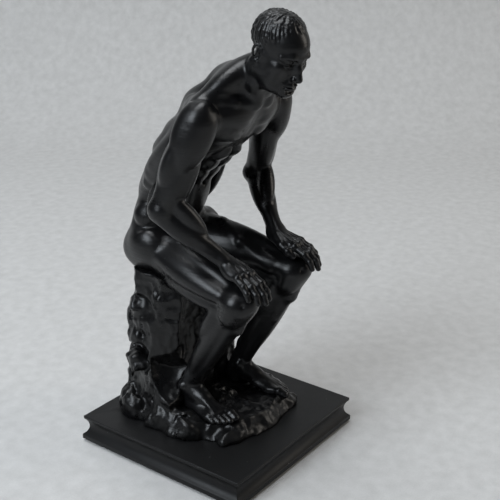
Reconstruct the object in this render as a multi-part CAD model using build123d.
from build123d import *
import math
import os

# Statuette of a seated figure in thought, on a rock on a moulded square plinth.
# Millimetres, +Z up. The figure faces -Y, so its left side is +X and its right side is -X.
# The origin is the middle of the underside, where the felt meets the table.

# Plinth and the felt under it
PLINTH_SIDE = 80.0
PLINTH_HEIGHT = 10.5
TOP_BAND_HEIGHT = 1.2
BOTTOM_BAND_HEIGHT = 2.0
TOP_BAND_SETBACK = 0.6
COVE_DEPTH = 1.5
COVE_DEEPEST = 0.62  # share of the cove's height, from below
FELT_THICKNESS = 1.0
FELT_MARGIN = 2.0

# Screws, washers and threaded inserts between plinth and rock
SCREW_SPACING = 22.0
SCREW_BACK = 18.0  # from the plinth's middle towards the figure's back
SCREW_DIAMETER = 4.0
SCREW_LENGTH = 13.0
SCREW_HEAD_DIAMETER = 7.6
SCREW_HEAD_HEIGHT = 2.6
HEX_SOCKET_FLATS = 2.5
HEX_SOCKET_DEPTH = 1.4
WASHER_DIAMETER = 9.0
WASHER_THICKNESS = 0.8
HEAD_RECESS = 0.8
SCREW_HOLE_CLEARANCE = 0.25
COUNTERBORE_CLEARANCE = 0.5
THREAD_CLEARANCE = 0.05
INSERT_DIAMETER = 5.6
INSERT_LENGTH = 8.0
DRILL_TIP_ROOM = 1.0

# Dowels, pins and the spigots that join the figure's pieces
SEAT_DOWEL_DIAMETER = 4.0
SEAT_DOWEL_LENGTH = 20.0
SEAT_DOWEL_SPACING = 14.0
SEAT_DOWEL_SETBACK = 2.5  # behind the hip joints
FOOT_PIN_DIAMETER = 2.0
FOOT_PIN_LENGTH = 7.0
FOOT_PIN_FORWARD = 7.0  # from the ankle towards the toes
NECK_SPIGOT_DIAMETER = 6.0
ARM_SPIGOT_DIAMETER = 6.0
LEG_SPIGOT_DIAMETER = 8.0
ARM_SPIGOT_DROP = 2.0  # below the shoulder joint
SPIGOT_LENGTH = 9.0
SPIGOT_CLEARANCE = 0.15
SPIGOT_END_ROOM = 0.5

# Rock: a low ledge for the feet and a column for the seat
LEDGE_HEIGHT = 6.0
LEDGE_HALF_WIDTH = 30.5
LEDGE_FRONT = 27.5
LEDGE_BACK = 36.5
LEDGE_BATTER = 2.0  # the ledge is this much smaller all round at its top
LEDGE_PHASES = (0.4, 0.7)  # how the outline is turned below and above
LEDGE_CORNERS = 13
ROCK_ROUGHNESS = 0.055
SEAT_ABOVE_BUTTOCK = 1.6  # the seat is carved this deep for the figure
COLUMN_BACK = 19.0  # the column's middle line lies this far behind the plinth's middle
COLUMN_ROOM = 100.0  # side of the block that the column is cut from
# Column faces: degrees round from the figure's left towards its back, distance from the middle line
# at the foot, degrees of batter
COLUMN_FACES = (
    (-90.0, 14.5, 1.1),
    (-44.0, 23.5, 4.6),
    (-2.0, 25.1, 4.6),
    (41.0, 22.3, 4.0),
    (90.0, 17.0, 2.6),
    (128.0, 21.4, 3.4),
    (159.0, 25.4, 2.9),
    (174.0, 25.0, 4.3),
)
# Hollows in the column's front: aside, back, height above the ledge, half width, depth and height
COLUMN_HOLLOWS = ((-8.0, 1.0, 31.5, 13.0, 8.0, 25.0), (9.0, 0.0, 33.5, 9.0, 8.5, 21.0))
# Boulders round the foot: aside, back, half width, half depth, height
BOULDERS = (
    (-24.5, -1.0, 7.0, 8.0, 9.5),
    (-26.0, 11.0, 4.5, 7.0, 8.0),
    (-25.0, 24.0, 5.0, 7.0, 9.0),
    (-17.0, 31.0, 8.0, 5.0, 8.5),
    (0.0, 33.0, 9.0, 4.5, 9.5),
    (17.0, 31.0, 8.0, 5.5, 8.0),
    (25.0, 22.0, 5.0, 8.0, 9.0),
    (26.0, 8.0, 4.5, 7.0, 8.5),
    (24.0, -7.0, 6.0, 7.0, 7.5),
    (2.0, -12.0, 5.5, 9.0, 7.6),
    (-1.0, -2.0, 8.0, 7.0, 11.0),
    (16.0, -21.0, 8.0, 4.5, 5.0),
    (-15.0, -19.0, 8.0, 5.0, 4.6),
)
# Lumps up the column's back and sides: degrees round, height above the ledge, half size
LUMPS = (
    (4.0, 17.0, 7.0),
    (22.0, 36.0, 8.0),
    (48.0, 14.0, 8.5),
    (66.0, 32.0, 7.5),
    (88.0, 19.0, 9.0),
    (104.0, 38.0, 7.0),
    (126.0, 16.0, 8.0),
    (143.0, 33.0, 7.5),
)
LUMP_SINK = 0.62  # share of a lump's size that its middle lies inside the face
LUMP_HEIGHT = 0.8  # share of a lump's size
STONE_CORNERS = 7
# Stone sections: share of the half height, share of the full reach
BOULDER_STATIONS = ((0.0, 1.0), (0.5, 0.86), (0.95, 0.4))
LUMP_STATIONS = ((-0.95, 0.4), (-0.4, 0.92), (0.4, 0.92), (0.95, 0.4))

# Figure: bone lengths
THIGH_LENGTH = 49.0
SHANK_LENGTH = 51.5
UPPER_ARM_LENGTH = 36.0
FOREARM_LENGTH = 30.5
PALM_LENGTH = 10.5
FINGER_LENGTH = 12.2  # the middle finger
THUMB_LENGTH = 9.0
FOOT_LENGTH = 31.0
ANKLE_HEIGHT = 10.0
HEAD_HEIGHT = 27.5
HIP_HEIGHT = 64.0  # hip joint above the ledge
TRUNK_LENGTH = 65.5  # hip joint to the base of the neck, straight up
NECK_LENGTH = 12.5
NECK_SPLIT_SHARE = 0.42  # where the head's piece starts

# Figure: where the body is carried, and how it is posed
HIP_SPREAD = 10.0
HIP_BACK = 24.0
SHOULDER_SPREAD = 23.0
SHOULDER_DROP = 9.0  # below the base of the neck
SHOULDER_BACK = -9.0
NECK_BACK = -12.0
NECK_LEAN = 48.0  # degrees forward
HEAD_BOW = 23.0  # degrees forward
HEAD_TURN = -10.0  # degrees, towards the figure's right
ANKLE_SPREAD = 13.5
RIGHT_ANKLE_BACK = 4.0
LEFT_ANKLE_BACK = -1.0
FOOT_TURN_OUT = 9.0
WRIST_BEHIND_KNEE = 10.0
KNEE_POLE = (0.15, -1.0, 0.5)  # where the knees point: outwards, back, up
ELBOW_POLE = (0.5, 0.8, -0.2)  # where the elbows point: outwards, back, up
HAND_DIP = 0.34  # slope of the back of the hand
FINGER_PITCH = (26.0, 44.0, 66.0)  # degrees below level, one for each bone of a finger
FINGER_SHARES = (0.44, 0.32, 0.24)  # how a finger's length is shared among its bones
FINGER_REACH = (0.92, 1.0, 0.94, 0.76)  # forefinger to little finger, against the middle one
FINGER_TAPER = 0.9
TOE_REACH = (1.0, 0.985, 0.955, 0.915, 0.86)  # share of the foot's length, great toe first

# Figure: half widths and half depths of the body
BUTTOCK_HALF_WIDTH = 19.5
HIP_HALF_WIDTH = 21.5
WAIST_HALF_WIDTH = 16.5
RIBS_HALF_WIDTH = 19.0
CHEST_HALF_WIDTH = 22.0
YOKE_HALF_WIDTH = 21.5
NECK_FOOT_HALF_WIDTH = 15.5
BUTTOCK_HALF_DEPTH = 13.5
WAIST_HALF_DEPTH = 11.5
RIBS_HALF_DEPTH = 13.5
CHEST_HALF_DEPTH = 16.0
YOKE_HALF_DEPTH = 13.0
NECK_FOOT_HALF_DEPTH = 8.5
BUTTOCK_DROP = 11.5  # underside of the buttocks below the hip joint
NECK_RADIUS = 7.6
DELTOID_RADIUS = 8.0
UPPER_ARM_RADIUS = 6.6
ELBOW_RADIUS = 4.6
FOREARM_RADIUS = 5.4
WRIST_RADIUS = 3.1
PALM_HALF_WIDTH = 4.9
PALM_HALF_THICKNESS = 2.1
FINGER_RADIUS = 1.3
FINGER_SPREAD = 2.5
FINGER_ROOT_SINK = 0.8
THUMB_RADIUS = 1.7
THUMB_ROOT_FORWARD = 2.5
THUMB_ROOT_ASIDE = 2.7
THUMB_SHARE = 0.55  # the first bone's share of the thumb
THUMB_WAY = (0.75, 0.62, 0.25)  # forward, inward, down
THUMB_TIP_WAY = (0.9, 0.15, 0.42)
THIGH_ROOT_RADIUS = 10.4
THIGH_MIDDLE_RADIUS = 9.8
KNEE_RADIUS = 7.3
CALF_RADIUS = 7.0
ANKLE_RADIUS = 4.0
FOOT_HALF_WIDTH = 5.6
GREAT_TOE_RADIUS = 1.9
TOE_RADIUS = 1.4
TOE_SPREAD = 2.35
TOE_MIDDLE = 1.9  # the toe, counted from the great one, that lies on the foot's middle line
TOE_ROOT = 0.72  # share of the foot's length
TOE_SLOPE = 0.6
HEEL_LENGTH = 6.5  # behind the ankle
HEAD_HALF_WIDTH = 9.0
HEAD_HALF_DEPTH = 11.5
HEAD_ABOVE_NECK = 8.8  # middle of the head from the top of the neck
HEAD_BEFORE_NECK = 3.2
NOSE_LENGTH = 5.8
NOSE_BRIDGE_RISE = 2.2
NOSE_BRIDGE_SINK = 1.6
NOSE_SLOPE = 2.3
NOSE_BRIDGE_RADIUS = 0.9
NOSE_TIP_RADIUS = 1.3
EAR_HALF_LENGTH = 1.9
EAR_HALF_HEIGHT = 3.1
EAR_HALF_THICKNESS = 1.2
EAR_SINK = 0.45
EAR_BACK = 0.6
EAR_DROP = 1.3

# Trunk sections: share of the way up, share of the lean, half width, half depth
TRUNK_STATIONS = (
    (0.0, -0.02, BUTTOCK_HALF_WIDTH * 0.85, BUTTOCK_HALF_DEPTH * 0.85),
    (0.07, -0.03, BUTTOCK_HALF_WIDTH, BUTTOCK_HALF_DEPTH),
    (0.19, -0.03, HIP_HALF_WIDTH, BUTTOCK_HALF_DEPTH),
    (0.30, -0.04, HIP_HALF_WIDTH * 0.87, BUTTOCK_HALF_DEPTH * 0.93),
    (0.40, -0.01, WAIST_HALF_WIDTH, WAIST_HALF_DEPTH),
    (0.49, 0.10, WAIST_HALF_WIDTH * 1.06, WAIST_HALF_DEPTH * 1.07),
    (0.58, 0.25, RIBS_HALF_WIDTH, RIBS_HALF_DEPTH),
    (0.67, 0.42, RIBS_HALF_WIDTH * 1.1, RIBS_HALF_DEPTH * 1.11),
    (0.76, 0.60, CHEST_HALF_WIDTH, CHEST_HALF_DEPTH),
    (0.83, 0.73, CHEST_HALF_WIDTH * 1.02, CHEST_HALF_DEPTH * 0.95),
    (0.90, 0.86, YOKE_HALF_WIDTH, YOKE_HALF_DEPTH),
    (0.97, 0.97, NECK_FOOT_HALF_WIDTH, NECK_FOOT_HALF_DEPTH),
)
# Slope from the nape down the back: behind and above the base of the neck, half width, half depth
NAPE_STATIONS = ((5.5, 1.0, 9.0, 6.5), (15.5, -9.0, 12.0, 7.5), (23.0, -20.0, 12.0, 5.0))
NAPE_ROOT_SHARE = 0.8  # where the slope starts inside the neck, and how much of it it fills
# Muscles on both sides of the trunk: share of the way up, degrees from the front, sink below the skin,
# slope of their long line, half length, half width, half depth
TRUNK_MUSCLES = (
    (0.845, 38.0, 2.4, 0.3, 12.5, 8.0, 4.4),
    (0.78, 148.0, 2.2, 3.0, 11.5, 7.0, 3.6),
    (0.68, 112.0, 2.7, 2.0, 15.0, 7.0, 4.2),
    (0.41, 62.0, 1.8, 4.0, 11.0, 6.0, 4.2),
    (0.40, 11.0, 0.6, 8.0, 9.5, 4.6, 3.4),
)
SKIN_STEP = 0.02  # share of the trunk's height, to feel the skin's slope
# Ellipsoid sections: share of the half length, share of the full reach
ROUND_STATIONS = ((-0.96, 0.28), (-0.6, 0.8), (0.0, 1.0), (0.6, 0.8), (0.96, 0.28))
# Muscle from the neck to the shoulder: share of the way, half width, half depth
YOKE_MUSCLE_STATIONS = ((0.0, 7.0, 6.6), (0.5, 6.4, 6.0), (1.0, 4.4, 4.2))
YOKE_MUSCLE_ROOT = (4.0, 1.0)  # beside the neck's middle line, along it
YOKE_MUSCLE_TIP = (4.0, 2.0, 5.6)  # from the shoulder joint: inward, back, up

# Head sections: height and forward shift in halves of the head, half width and depth in its own
HEAD_STATIONS = (
    (-1.0, 0.55, 0.32, 0.24),
    (-0.8, 0.36, 0.62, 0.52),
    (-0.45, 0.12, 0.82, 0.80),
    (0.0, 0.0, 0.96, 0.96),
    (0.35, -0.04, 1.0, 1.0),
    (0.7, -0.08, 0.86, 0.86),
    (0.92, -0.10, 0.52, 0.54),
    (1.0, -0.10, 0.2, 0.22),
)

# Limb sections: share of the way along, half width, half depth
UPPER_ARM_STATIONS = (
    (0.0, DELTOID_RADIUS * 0.9, DELTOID_RADIUS * 0.95),
    (0.28, UPPER_ARM_RADIUS * 1.08, UPPER_ARM_RADIUS * 1.16),
    (0.6, UPPER_ARM_RADIUS * 0.92, UPPER_ARM_RADIUS * 1.05),
    (1.0, ELBOW_RADIUS, ELBOW_RADIUS),
)
FOREARM_STATIONS = (
    (0.0, ELBOW_RADIUS, ELBOW_RADIUS),
    (0.25, FOREARM_RADIUS, FOREARM_RADIUS * 0.95),
    (0.65, FOREARM_RADIUS * 0.8, FOREARM_RADIUS * 0.72),
    (1.0, WRIST_RADIUS * 1.1, WRIST_RADIUS * 0.85),
)
PALM_STATIONS = (
    (0.0, WRIST_RADIUS, WRIST_RADIUS * 0.8),
    (0.55, PALM_HALF_WIDTH, PALM_HALF_THICKNESS * 1.2),
    (1.0, PALM_HALF_WIDTH, PALM_HALF_THICKNESS * 0.85),
)
THIGH_STATIONS = (
    (0.0, THIGH_ROOT_RADIUS, THIGH_ROOT_RADIUS * 0.98),
    (0.35, THIGH_MIDDLE_RADIUS, THIGH_MIDDLE_RADIUS * 1.02),
    (0.7, THIGH_MIDDLE_RADIUS * 0.86, THIGH_MIDDLE_RADIUS * 0.9),
    (1.0, KNEE_RADIUS, KNEE_RADIUS),
)
SHANK_STATIONS = (
    (0.0, KNEE_RADIUS * 0.95, KNEE_RADIUS * 0.95),
    (0.3, CALF_RADIUS, CALF_RADIUS * 1.05),
    (0.65, CALF_RADIUS * 0.72, CALF_RADIUS * 0.8),
    (1.0, ANKLE_RADIUS, ANKLE_RADIUS * 1.1),
)

# Foot sections: share of the way to the toes, share of the half width, then the half height and the
# middle's height as shares of the ankle's height
FOOT_STATIONS = (
    (0.0, 0.42, 0.26, 0.40),
    (0.10, 0.76, 0.46, 0.46),
    (0.28, 0.80, 0.58, 0.56),
    (0.48, 0.86, 0.46, 0.42),
    (0.68, 1.0, 0.32, 0.26),
    (0.80, 0.94, 0.22, 0.19),
)

# Levels that follow from the sizes above
PLINTH_BOTTOM = FELT_THICKNESS
PLINTH_TOP = PLINTH_BOTTOM + PLINTH_HEIGHT
LEDGE_TOP = PLINTH_TOP + LEDGE_HEIGHT
HIP_Z = LEDGE_TOP + HIP_HEIGHT
BUTTOCK_Z = HIP_Z - BUTTOCK_DROP
SEAT_Z = BUTTOCK_Z + SEAT_ABOVE_BUTTOCK
NECK_Z = HIP_Z + TRUNK_LENGTH
WASHER_SEAT_Z = PLINTH_BOTTOM + HEAD_RECESS + SCREW_HEAD_HEIGHT + WASHER_THICKNESS
SCREW_SEAT_Z = WASHER_SEAT_Z - WASHER_THICKNESS
SCREW_TIP_Z = SCREW_SEAT_Z + SCREW_LENGTH
SCREW_POINTS = [(side * SCREW_SPACING / 2, SCREW_BACK) for side in (-1, 1)]
UP = Vector(0, 0, 1)
RIGHT, LEFT = -1, 1
NECK_START = Vector(0, NECK_BACK, NECK_Z)
NECK_WAY = Vector(0, -math.sin(math.radians(NECK_LEAN)), math.cos(math.radians(NECK_LEAN)))
NECK_SPLIT = NECK_LENGTH * NECK_SPLIT_SHARE
NECK_TOP = NECK_LENGTH + NECK_RADIUS


def bend_point(start, end, first_length, second_length, pole):
    """The knee or elbow between two points, bent towards the pole direction."""
    reach = end - start
    distance = reach.length
    along = reach.normalized()
    share = (first_length**2 - second_length**2 + distance**2) / (2 * distance)
    rise = math.sqrt(first_length**2 - share**2)
    aside = (pole - along * pole.dot(along)).normalized()
    return start + along * share + aside * rise


def square_to(direction, hint):
    """The unit vector nearest to hint that is square to direction."""
    return (hint - direction * hint.dot(direction)).normalized()


def ring(centre, along, across, half_width, half_depth):
    """An ellipse at centre, square to along, with its half width on across."""
    return Plane(origin=centre, x_dir=across, z_dir=along) * Ellipse(half_width, half_depth)


def limb(start, end, stations, across):
    """A lofted bone: each station is a share of the way, a half width and a half depth."""
    along = (end - start).normalized()
    side = square_to(along, across)
    rings = [ring(start + (end - start) * t, along, side, w, d) for t, w, d in stations]
    return loft(rings)


def ball(centre, radius):
    """A sphere at a point."""
    return Pos(*centre) * Sphere(radius)


def rod(start, end, radius):
    """A round bar from start to end."""
    axis = end - start
    bar = Cylinder(radius, axis.length, align=(Align.CENTER, Align.CENTER, Align.MIN))
    return Plane(origin=start, z_dir=axis.normalized()) * bar


def finger_bone(start, end, start_radius, end_radius):
    """A tapering bone with a round tip."""
    axis = end - start
    shape = Cone(start_radius, end_radius, axis.length, align=(Align.CENTER, Align.CENTER, Align.MIN))
    return Plane(origin=start, z_dir=axis.normalized()) * shape + ball(end, end_radius)


def largest(shape):
    """The largest solid of a shape, without the crumbs that a cut can leave."""
    return max(shape.solids(), key=lambda solid: solid.volume)


def upright_drum(x, y, low, high, radius):
    """A vertical cylinder between two levels."""
    drum = Cylinder(radius, high - low, align=(Align.CENTER, Align.CENTER, Align.MIN))
    return Pos(x, y, low) * drum


class Leg:
    """The joints and directions of one leg."""

    def __init__(self, side, ankle_back):
        self.side = side
        self.hip = Vector(side * HIP_SPREAD, HIP_BACK, HIP_Z)
        self.ankle = Vector(side * ANKLE_SPREAD, ankle_back, LEDGE_TOP + ANKLE_HEIGHT)
        pole = Vector(side * KNEE_POLE[0], *KNEE_POLE[1:])
        self.knee = bend_point(self.hip, self.ankle, THIGH_LENGTH, SHANK_LENGTH, pole)
        turn = math.radians(FOOT_TURN_OUT)
        self.forward = Vector(side * math.sin(turn), -math.cos(turn), 0)
        self.across = self.forward.cross(UP)
        self.pin = self.ankle + self.forward * FOOT_PIN_FORWARD


class Arm:
    """The joints and directions of one arm, whose hand rests on the thigh behind the knee."""

    def __init__(self, leg):
        self.side = leg.side
        self.shoulder = Vector(leg.side * SHOULDER_SPREAD, SHOULDER_BACK, NECK_Z - SHOULDER_DROP)
        thigh = (leg.hip - leg.knee).normalized()
        lift = square_to(thigh, UP)
        rest = leg.knee + thigh * WRIST_BEHIND_KNEE
        self.wrist = rest + lift * (KNEE_RADIUS + WRIST_RADIUS + PALM_HALF_THICKNESS)
        pole = Vector(leg.side * ELBOW_POLE[0], *ELBOW_POLE[1:])
        self.elbow = bend_point(self.shoulder, self.wrist, UPPER_ARM_LENGTH, FOREARM_LENGTH, pole)
        level = Vector(-thigh.X, -thigh.Y, 0).normalized()
        self.forward = (level - UP * HAND_DIP).normalized()
        self.level = level
        self.across = level.cross(UP)


def pitched(level, degrees):
    """A level direction turned down by an angle."""
    angle = math.radians(degrees)
    return level * math.cos(angle) - UP * math.sin(angle)


def make_plinth():
    """Square slab: the moulded outline run along both sides, and what the two share."""
    half = PLINTH_SIDE / 2
    cove_low = PLINTH_BOTTOM + BOTTOM_BAND_HEIGHT
    cove_high = PLINTH_TOP - TOP_BAND_HEIGHT
    inner = half - TOP_BAND_SETBACK
    deepest = (inner - COVE_DEPTH, cove_low + (cove_high - cove_low) * COVE_DEEPEST)
    edge = Polyline((0, PLINTH_BOTTOM), (half, PLINTH_BOTTOM), (half, cove_low))
    edge += ThreePointArc((half, cove_low), deepest, (inner, cove_high))
    edge += Polyline((inner, cove_high), (inner, PLINTH_TOP), (0, PLINTH_TOP), (0, PLINTH_BOTTOM))
    outline = make_face(edge)
    outline += mirror(outline, Plane.YZ)
    across_x = extrude(Plane.XZ * outline, half, both=True)
    across_y = extrude(Plane.YZ * outline, half, both=True)
    slab = across_x & across_y
    for x, y in SCREW_POINTS:
        bore = SCREW_DIAMETER / 2 + SCREW_HOLE_CLEARANCE
        pocket = WASHER_DIAMETER / 2 + COUNTERBORE_CLEARANCE
        slab -= upright_drum(x, y, PLINTH_BOTTOM, PLINTH_TOP, bore)
        slab -= upright_drum(x, y, PLINTH_BOTTOM, WASHER_SEAT_Z, pocket)
    return slab


def make_felt_sheet():
    """Felt over the whole underside, glued on after the screws are tight."""
    side = PLINTH_SIDE - 2 * FELT_MARGIN
    return Box(side, side, FELT_THICKNESS, align=(Align.CENTER, Align.CENTER, Align.MIN))


def make_screws():
    """Pan-head screws with a hex socket. The thread is a plain shank."""
    screws = []
    for x, y in SCREW_POINTS:
        head_bottom = SCREW_SEAT_Z - SCREW_HEAD_HEIGHT
        head = upright_drum(x, y, head_bottom, SCREW_SEAT_Z, SCREW_HEAD_DIAMETER / 2)
        shank = upright_drum(x, y, SCREW_SEAT_Z, SCREW_TIP_Z, SCREW_DIAMETER / 2)
        hexagon = RegularPolygon(HEX_SOCKET_FLATS / 2, 6, major_radius=False)
        socket = extrude(Pos(x, y, head_bottom) * hexagon, HEX_SOCKET_DEPTH)
        screws.append(head + shank - socket)
    return screws


def make_washers():
    """A flat washer on each screw."""
    bore = SCREW_DIAMETER / 2 + SCREW_HOLE_CLEARANCE
    return [
        upright_drum(x, y, SCREW_SEAT_Z, WASHER_SEAT_Z, WASHER_DIAMETER / 2)
        - upright_drum(x, y, SCREW_SEAT_Z, WASHER_SEAT_Z, bore)
        for x, y in SCREW_POINTS
    ]


def make_inserts():
    """Brass inserts set flush into the foot of the rock."""
    top = PLINTH_TOP + INSERT_LENGTH
    bore = SCREW_DIAMETER / 2 + THREAD_CLEARANCE
    return [
        upright_drum(x, y, PLINTH_TOP, top, INSERT_DIAMETER / 2)
        - upright_drum(x, y, PLINTH_TOP, top, bore)
        for x, y in SCREW_POINTS
    ]


def rock_ring(centre, half_width, half_length, phase, corners):
    """An uneven many-sided level outline of a stone."""
    points = []
    for corner in range(corners):
        angle = 2 * math.pi * corner / corners
        swell = 1 + ROCK_ROUGHNESS * (math.sin(3 * angle + phase) + math.cos(5 * angle - 2 * phase))
        squarer = (abs(math.cos(angle)) ** 4 + abs(math.sin(angle)) ** 4) ** -0.25
        reach = swell * (1 + squarer) / 2
        points.append((half_width * reach * math.cos(angle), half_length * reach * math.sin(angle)))
    return Pos(*centre) * Polygon(*points, align=None)


def stone(centre, half_width, half_length, half_height, stations, phase):
    """A faceted stone: ruled between uneven outlines."""
    rings = [
        rock_ring(
            centre + UP * half_height * share,
            half_width * reach,
            half_length * reach,
            phase + share,
            STONE_CORNERS,
        )
        for share, reach in stations
    ]
    return loft(rings, ruled=True)


def ellipsoid(centre, along, across, half_length, half_width, half_depth):
    """A rounded mass, lofted along its long line."""
    start = centre - along * half_length
    span = along * half_length
    stations = [(1 + share, half_width * reach, half_depth * reach) for share, reach in ROUND_STATIONS]
    rings = [ring(start + span * way, along, square_to(along, across), w, d) for way, w, d in stations]
    return loft(rings)


def make_ledge():
    """The low ledge under the column and the feet."""
    fit = 1 / (1 + 2 * ROCK_ROUGHNESS)
    width = LEDGE_HALF_WIDTH * fit
    length = (LEDGE_FRONT + LEDGE_BACK) / 2 * fit
    foot = Vector(0, (LEDGE_BACK - LEDGE_FRONT) / 2, PLINTH_TOP)
    top = foot + UP * LEDGE_HEIGHT
    top_width = width - LEDGE_BATTER
    top_length = length - LEDGE_BATTER
    low = rock_ring(foot, width, length, LEDGE_PHASES[0], LEDGE_CORNERS)
    high = rock_ring(top, top_width, top_length, LEDGE_PHASES[1], LEDGE_CORNERS)
    return loft([low, high], ruled=True)


def column_face(degrees, distance, batter):
    """A point on one of the column's faces and the direction that the face looks."""
    angle, slope = math.radians(degrees), math.radians(batter)
    level = Vector(math.cos(angle), math.sin(angle), 0)
    point = Vector(0, COLUMN_BACK, PLINTH_TOP) + level * distance
    return point, level * math.cos(slope) + UP * math.sin(slope)


def column_surface(degrees, level):
    """A point on the column's faces, seen from its middle line at one level."""
    angle = math.radians(degrees)
    out = Vector(math.cos(angle), math.sin(angle), 0)
    middle = Vector(0, COLUMN_BACK, level)
    faces = [column_face(*face) for face in COLUMN_FACES]
    reaches = [(point - middle).dot(way) / out.dot(way) for point, way in faces if out.dot(way) > 0]
    return middle + out * min(reaches)


def make_column():
    """The tall rock behind the calves: flat faces, and hollows in its front."""
    foot = Pos(0, COLUMN_BACK, PLINTH_TOP)
    centred = (Align.CENTER, Align.CENTER, Align.MIN)
    column = foot * Box(COLUMN_ROOM, COLUMN_ROOM, SEAT_Z - PLINTH_TOP, align=centred)
    for face in COLUMN_FACES:
        point, way = column_face(*face)
        column -= Plane(origin=point, z_dir=way) * Box(*[2 * COLUMN_ROOM] * 3, align=centred)
    for x, y, height, half_width, half_depth, half_height in COLUMN_HOLLOWS:
        centre = Vector(x, y, LEDGE_TOP + height)
        column -= ellipsoid(centre, UP, Vector(1, 0, 0), half_height, half_width, half_depth)
    return column


def make_rock_blank():
    """The rock before the figure's seat is carved and its holes are drilled."""
    stones = []
    for place, (x, y, half_width, half_depth, height) in enumerate(BOULDERS):
        centre = Vector(x, y, PLINTH_TOP)
        stones.append(stone(centre, half_width, half_depth, height, BOULDER_STATIONS, place))
    for place, (degrees, height, size) in enumerate(LUMPS):
        spot = column_surface(degrees, LEDGE_TOP + height)
        inward = (Vector(0, COLUMN_BACK, spot.Z) - spot).normalized()
        centre = spot + inward * size * LUMP_SINK
        stones.append(stone(centre, size, size, size * LUMP_HEIGHT, LUMP_STATIONS, place))
    return make_ledge() + make_column() + stones


def neck_ring(distance):
    """The neck's outline at a distance above its base."""
    return ring(NECK_START + NECK_WAY * distance, NECK_WAY, Vector(1, 0, 0), NECK_RADIUS, NECK_RADIUS)


def trunk_section(share):
    """The trunk's middle, half width and half depth at a share of the way up."""
    pairs = zip(TRUNK_STATIONS, TRUNK_STATIONS[1:])
    below, above = next(pair for pair in pairs if pair[1][0] >= share)
    part = (share - below[0]) / (above[0] - below[0])
    _, lean, half_width, half_depth = [low + (high - low) * part for low, high in zip(below, above)]
    back = HIP_BACK + (NECK_BACK - HIP_BACK) * lean
    return Vector(0, back, BUTTOCK_Z + (NECK_Z - BUTTOCK_Z) * share), half_width, half_depth


def trunk_skin(share, degrees):
    """A point on the trunk's skin: 0 degrees is its front, 90 its left and 180 its back."""
    middle, half_width, half_depth = trunk_section(share)
    angle = math.radians(degrees)
    return middle + Vector(math.sin(angle) * half_width, -math.cos(angle) * half_depth, 0)


def trunk_muscle(side, share, degrees, sink, slope, half_length, half_width, half_depth):
    """A flat muscle that lies on one side of the trunk."""
    spot = trunk_skin(share, side * degrees)
    climb = (trunk_skin(share + SKIN_STEP, side * degrees) - spot).normalized()
    round_way = (trunk_skin(share, side * (degrees + 1)) - spot).normalized()
    out = round_way.cross(climb) * side
    along = (round_way + climb * slope).normalized()
    return ellipsoid(spot - out * sink, along, out.cross(along), half_length, half_width, half_depth)


def nape_slope():
    """The rounded slope from the nape down to the upper back."""
    root = NECK_START + NECK_WAY * NECK_SPLIT * NAPE_ROOT_SHARE
    points = [root] + [NECK_START + Vector(0, back, rise) for back, rise, _, _ in NAPE_STATIONS]
    root_radius = NECK_RADIUS * NAPE_ROOT_SHARE
    sizes = [(root_radius, root_radius)] + [station[2:] for station in NAPE_STATIONS]
    ways = [NECK_WAY]
    for before, after in zip(points, points[2:] + points[-1:]):
        ways.append((before - after).normalized())
    rings = [ring(p, way, Vector(1, 0, 0), w, d) for p, way, (w, d) in zip(points, ways, sizes)]
    return loft(rings)


def yoke_muscle(arm):
    """The muscle from the side of the neck to the shoulder."""
    aside, along = YOKE_MUSCLE_ROOT
    inward, back, rise = YOKE_MUSCLE_TIP
    root = NECK_START + NECK_WAY * along + Vector(arm.side * aside, 0, 0)
    tip = arm.shoulder + Vector(-arm.side * inward, back, rise)
    return limb(root, tip, YOKE_MUSCLE_STATIONS, Vector(0, 1, 0))


def make_torso_blank(arms):
    """Pelvis, trunk and lower neck, lofted up the spine, with the main muscles."""
    rings = []
    for share, _, _, _ in TRUNK_STATIONS:
        middle, half_width, half_depth = trunk_section(share)
        rings.append(ring(middle, UP, Vector(1, 0, 0), half_width, half_depth))
    rings.append(neck_ring(NECK_SPLIT))
    split = Plane(origin=NECK_START + NECK_WAY * NECK_SPLIT, z_dir=NECK_WAY)
    room = 2 * TRUNK_LENGTH
    above = split * Box(room, room, room, align=(Align.CENTER, Align.CENTER, Align.MIN))
    trunk = loft(rings) + nape_slope()
    trunk += [yoke_muscle(arm) - above for arm in arms]
    for muscle in TRUNK_MUSCLES:
        for arm in arms:
            trunk += trunk_muscle(arm.side, *muscle)
    return trunk


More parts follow.
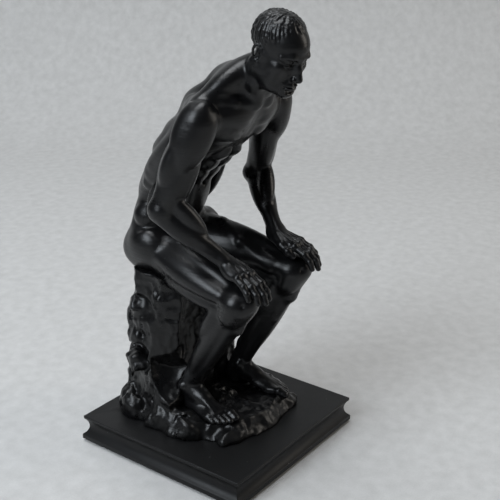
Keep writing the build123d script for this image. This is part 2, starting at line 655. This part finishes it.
def make_head_blank():
    """Upper neck, skull, jaw, nose and ears, with a plain face, bowed and turned."""
    top = NECK_START + NECK_WAY * NECK_LENGTH
    bow, turn = math.radians(HEAD_BOW), math.radians(HEAD_TURN)
    level = Vector(math.sin(turn), -math.cos(turn), 0)
    forward = level * math.cos(bow) - UP * math.sin(bow)
    rise = UP * math.cos(bow) + level * math.sin(bow)
    side = forward.cross(rise)
    middle = top + rise * HEAD_ABOVE_NECK + forward * HEAD_BEFORE_NECK
    half = HEAD_HEIGHT / 2
    rings = []
    for height, ahead, width, depth in HEAD_STATIONS:
        centre = middle + rise * half * height + forward * HEAD_HALF_DEPTH * ahead
        rings.append(ring(centre, rise, side, HEAD_HALF_WIDTH * width, HEAD_HALF_DEPTH * depth))
    skull = loft(rings)
    face = middle + forward * HEAD_HALF_DEPTH
    bridge = face + rise * NOSE_BRIDGE_RISE - forward * NOSE_BRIDGE_SINK
    tip = bridge - rise * NOSE_LENGTH + forward * NOSE_SLOPE
    nose = finger_bone(bridge, tip, NOSE_BRIDGE_RADIUS, NOSE_TIP_RADIUS)
    neck = loft([neck_ring(NECK_SPLIT), neck_ring(NECK_TOP)])
    pieces = [neck, nose]
    for way in (RIGHT, LEFT):
        centre = middle + side * way * (HEAD_HALF_WIDTH - EAR_SINK) - forward * EAR_BACK - rise * EAR_DROP
        plane = Plane(origin=centre, x_dir=forward, z_dir=side * way)
        outline = plane * Ellipse(EAR_HALF_LENGTH, EAR_HALF_HEIGHT)
        pieces.append(extrude(outline, EAR_HALF_THICKNESS, both=True))
    return skull + pieces


def thumb_way(arm, inward, shares):
    """A unit direction from its shares forward, inward and down."""
    forward, aside, down = shares
    return (arm.forward * forward + inward * aside - UP * down).normalized()


def make_arm_blank(arm):
    """Shoulder, upper arm, forearm and a hand with its fingers over the knee."""
    upper = limb(arm.shoulder, arm.elbow, UPPER_ARM_STATIONS, arm.across)
    lower = limb(arm.elbow, arm.wrist, FOREARM_STATIONS, arm.across)
    palm_end = arm.wrist + arm.forward * PALM_LENGTH
    palm = limb(arm.wrist - arm.forward * WRIST_RADIUS, palm_end, PALM_STATIONS, arm.across)
    pieces = [lower, palm, ball(arm.shoulder, DELTOID_RADIUS), ball(arm.elbow, ELBOW_RADIUS)]
    for place, share in enumerate(FINGER_REACH):
        offset = ((len(FINGER_REACH) - 1) / 2 - place) * FINGER_SPREAD * arm.side
        start = palm_end + arm.across * offset - arm.forward * FINGER_ROOT_SINK
        radius = FINGER_RADIUS
        for pitch, bone in zip(FINGER_PITCH, FINGER_SHARES):
            end = start + pitched(arm.level, pitch) * FINGER_LENGTH * share * bone
            pieces.append(finger_bone(start, end, radius, radius * FINGER_TAPER))
            start = end
            radius *= FINGER_TAPER
    inward = arm.across * arm.side
    root = arm.wrist + arm.forward * THUMB_ROOT_FORWARD + inward * THUMB_ROOT_ASIDE
    knuckle = root + thumb_way(arm, inward, THUMB_WAY) * THUMB_LENGTH * THUMB_SHARE
    tip = knuckle + thumb_way(arm, inward, THUMB_TIP_WAY) * THUMB_LENGTH * (1 - THUMB_SHARE)
    pieces.append(finger_bone(root, knuckle, THUMB_RADIUS, THUMB_RADIUS * FINGER_TAPER))
    pieces.append(finger_bone(knuckle, tip, THUMB_RADIUS * FINGER_TAPER, THUMB_RADIUS * FINGER_TAPER**2))
    return upper + pieces


def make_leg_blank(leg):
    """Thigh, knee, shank and a foot with its toes, flat under the sole."""
    thigh = limb(leg.hip, leg.knee, THIGH_STATIONS, leg.across)
    shank = limb(leg.knee, leg.ankle, SHANK_STATIONS, leg.across)
    heel = leg.ankle - UP * ANKLE_HEIGHT - leg.forward * HEEL_LENGTH
    rings = [
        ring(
            heel + leg.forward * FOOT_LENGTH * share + UP * ANKLE_HEIGHT * rise,
            leg.forward,
            leg.across,
            FOOT_HALF_WIDTH * width,
            ANKLE_HEIGHT * height,
        )
        for share, width, height, rise in FOOT_STATIONS
    ]
    pieces = [shank, loft(rings), ball(leg.knee, KNEE_RADIUS), ball(leg.ankle, ANKLE_RADIUS * 1.1)]
    for toe, reach in enumerate(TOE_REACH):
        offset = (TOE_MIDDLE - toe) * TOE_SPREAD * leg.side
        radius = GREAT_TOE_RADIUS if toe == 0 else TOE_RADIUS
        line = heel + leg.across * offset + UP * radius * FINGER_TAPER
        start = line + leg.forward * FOOT_LENGTH * TOE_ROOT + UP * TOE_SLOPE
        tip = line + leg.forward * (FOOT_LENGTH * reach - radius)
        pieces.append(finger_bone(start, tip, radius, radius * FINGER_TAPER))
    blank = thigh + pieces
    room = 4 * FOOT_LENGTH
    ground = Pos(0, 0, LEDGE_TOP) * Box(room, room, room, align=(Align.CENTER, Align.CENTER, Align.MAX))
    return blank - ground


def shoulder_spigot(arm, growth=0.0, extra=0.0):
    """The round spigot, or with growth its socket, that runs from the shoulder into the chest."""
    start = arm.shoulder - UP * ARM_SPIGOT_DROP
    inward = Vector(-arm.side, 0, 0)
    end = start + inward * (DELTOID_RADIUS / 2 + SPIGOT_LENGTH + extra)
    return rod(start, end, ARM_SPIGOT_DIAMETER / 2 + growth)


def hip_spigot(leg, growth=0.0, extra=0.0):
    """The round spigot, or with growth its socket, that runs back along the thigh into the pelvis."""
    along = (leg.hip - leg.knee).normalized()
    inside = HIP_BACK - BUTTOCK_HALF_DEPTH - leg.knee.Y
    start = leg.knee + along * inside
    return rod(start, start + along * (SPIGOT_LENGTH + extra), LEG_SPIGOT_DIAMETER / 2 + growth)


def neck_spigot(growth=0.0, extra=0.0):
    """The round spigot, or with growth its socket, that runs down the neck into the trunk."""
    split = NECK_START + NECK_WAY * NECK_SPLIT
    return rod(split, split - NECK_WAY * (SPIGOT_LENGTH + extra), NECK_SPIGOT_DIAMETER / 2 + growth)


def make_seat_dowels():
    """Steel dowels, half in the rock and half in the pelvis."""
    half = SEAT_DOWEL_LENGTH / 2
    return [
        upright_drum(
            side * SEAT_DOWEL_SPACING / 2,
            HIP_BACK + SEAT_DOWEL_SETBACK,
            BUTTOCK_Z - half,
            BUTTOCK_Z + half,
            SEAT_DOWEL_DIAMETER / 2,
        )
        for side in (RIGHT, LEFT)
    ]


def make_foot_pins(legs):
    """A steel pin under each foot, half in the ledge and half in the sole."""
    half = FOOT_PIN_LENGTH / 2
    return [
        upright_drum(leg.pin.X, leg.pin.Y, LEDGE_TOP - half, LEDGE_TOP + half, FOOT_PIN_DIAMETER / 2)
        for leg in legs
    ]


def drill_rock(rock):
    """Holes for the inserts and for the screw tips above them."""
    for x, y in SCREW_POINTS:
        insert_top = PLINTH_TOP + INSERT_LENGTH
        bore = SCREW_DIAMETER / 2 + SCREW_HOLE_CLEARANCE
        rock -= upright_drum(x, y, PLINTH_TOP, insert_top, INSERT_DIAMETER / 2)
        rock -= upright_drum(x, y, PLINTH_TOP, max(SCREW_TIP_Z, insert_top) + DRILL_TIP_ROOM, bore)
    return rock


def without(shape, others):
    """A shape with every other shape cut out of it."""
    for other in others:
        shape -= other
    return shape


def main():
    """Builds every piece and writes one file for each."""
    os.makedirs("parts", exist_ok=True)
    legs = [Leg(RIGHT, RIGHT_ANKLE_BACK), Leg(LEFT, LEFT_ANKLE_BACK)]
    arms = [Arm(leg) for leg in legs]
    dowels, pins = make_seat_dowels(), make_foot_pins(legs)
    torso = make_torso_blank(arms)
    leg_shapes = [largest(make_leg_blank(leg) - torso) for leg in legs]
    arm_shapes = [largest(make_arm_blank(arm) - torso - shape) for arm, shape in zip(arms, leg_shapes)]
    rock = without(drill_rock(make_rock_blank()), [torso, *leg_shapes, *dowels, *pins])
    sockets = [shoulder_spigot(arm, SPIGOT_CLEARANCE, SPIGOT_END_ROOM) for arm in arms]
    sockets += [hip_spigot(leg, SPIGOT_CLEARANCE, SPIGOT_END_ROOM) for leg in legs]
    sockets.append(neck_spigot(SPIGOT_CLEARANCE, SPIGOT_END_ROOM))
    nodes = {
        "plinth": make_plinth(),
        "felt_sheet": make_felt_sheet(),
        "plinth_screws": Compound(children=make_screws()),
        "screw_washers": Compound(children=make_washers()),
        "threaded_inserts": Compound(children=make_inserts()),
        "seat_dowels": Compound(children=dowels),
        "foot_pins": Compound(children=pins),
        "rock_seat": largest(rock),
        "torso": largest(without(torso, [*sockets, *dowels])),
        "head": make_head_blank() + neck_spigot(),
        "right_arm": arm_shapes[0] + shoulder_spigot(arms[0]),
        "left_arm": arm_shapes[1] + shoulder_spigot(arms[1]),
        "right_leg": without(leg_shapes[0] + hip_spigot(legs[0]), pins),
        "left_leg": without(leg_shapes[1] + hip_spigot(legs[1]), pins),
    }
    for name, shape in nodes.items():
        export_step(shape, f"parts/{name}.step")


if __name__ == "__main__":
    main()
